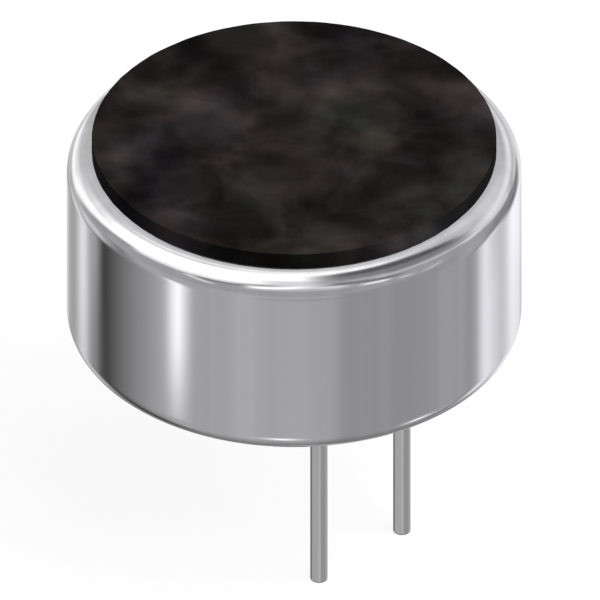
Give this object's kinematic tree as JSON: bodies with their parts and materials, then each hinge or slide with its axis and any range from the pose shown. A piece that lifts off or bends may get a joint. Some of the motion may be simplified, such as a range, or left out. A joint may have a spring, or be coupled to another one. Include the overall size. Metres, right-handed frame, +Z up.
{
  "type": "electret microphone capsule",
  "caption": "Round metal microphone capsule with a black felt top, a crimped rim and straight leads, turns sound at the felt into a signal at the leads.",
  "frame": {"origin": "centre of the seating plane, on the can's axis under the rolled rim", "axes": "+Z up the can's axis towards the felt, +X from the axis towards the line of the leads, +Y along that line from the output lead to the ground lead"},
  "size_m": [0.0098, 0.0096, 0.0099],
  "materials": {
    "can_metal": "bright drawn sheet",
    "felt": "pressed felt",
    "tape": "double-sided tape",
    "brass": "turned and stamped brass",
    "diaphragm_film": "metallised film",
    "spacer_film": "clear amber film",
    "electret": "charged film",
    "holder_plastic": "moulded",
    "board": "laminate under green resist",
    "copper": "rolled foil",
    "package": "moulded epoxy",
    "tinned_wire": "tinned wire",
    "solder": "bright solder"
  },
  "bodies": {
    "root": {"can": "can_metal", "felt_cover": "felt", "felt_adhesive": "tape", "diaphragm_ring": "brass", "diaphragm": "diaphragm_film", "spacer": "spacer_film", "electret_film": "electret", "backplate": "brass", "backplate_holder": "holder_plastic", "gate_ring": "brass", "circuit_board": "board", "gate_land": "copper", "drain_trace": "copper", "source_trace": "copper", "ground_copper": "copper", "output_pad": "copper", "output_via": "copper", "ground_via": "copper", "jfet_package": "package", "jfet_gate_lead": "tinned_wire", "jfet_drain_lead": "tinned_wire", "jfet_source_lead": "tinned_wire", "jfet_gate_solder": "solder", "jfet_drain_solder": "solder", "jfet_source_solder": "solder", "output_pin": "tinned_wire", "ground_pin": "tinned_wire", "output_solder": "solder", "ground_solder": "solder"}
  },
  "joints": []
}
